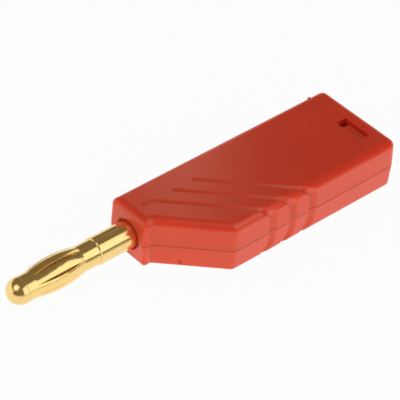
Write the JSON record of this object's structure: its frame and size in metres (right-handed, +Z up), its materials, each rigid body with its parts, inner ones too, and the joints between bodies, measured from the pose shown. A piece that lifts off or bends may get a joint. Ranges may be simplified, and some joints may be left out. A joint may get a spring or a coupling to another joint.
{
  "type": "banana plug",
  "caption": "Flat red 4 mm banana plug: gold lantern pin offset to one side, diagonal finger grooves, snap-together half shells, rear stacking socket and a screw terminal for a lead.",
  "frame": {"origin": "centre of the whole plug's footprint, on the surface that it lies on", "axes": "+X runs along the pin axis from the tip back to the lead end, +Y to the side that the pin is on, +Z up"},
  "size_m": [0.0594, 0.0152, 0.008],
  "materials": {
    "shell": "satin moulded",
    "gold_plate": "polished gold plate",
    "brass": "machined",
    "steel": "zinc plated"
  },
  "bodies": {
    "plug": {"lower_shell": "shell", "contact_pin": "gold_plate", "terminal_block": "brass"},
    "lid": {"upper_shell": "shell"},
    "cage": {"spring_cage": "gold_plate"},
    "screw": {"clamp_screw": "steel"}
  },
  "joints": [
    {"name": "lid_lift", "type": "slide", "parent": "plug", "child": "lid", "axis": [0, 0, 1], "range_m": [0, 0.012]},
    {"name": "cage_spin", "type": "hinge", "parent": "plug", "child": "cage", "pos_m": [-0.02202, 0.0039, 0.00375], "axis": [1, 0, 0], "continuous": true},
    {"name": "screw_turn", "type": "hinge", "parent": "plug", "child": "screw", "pos_m": [0.0039, -0.0025, 0.0056], "axis": [0, 0, 1], "range_deg": [0, 1440]}
  ]
}
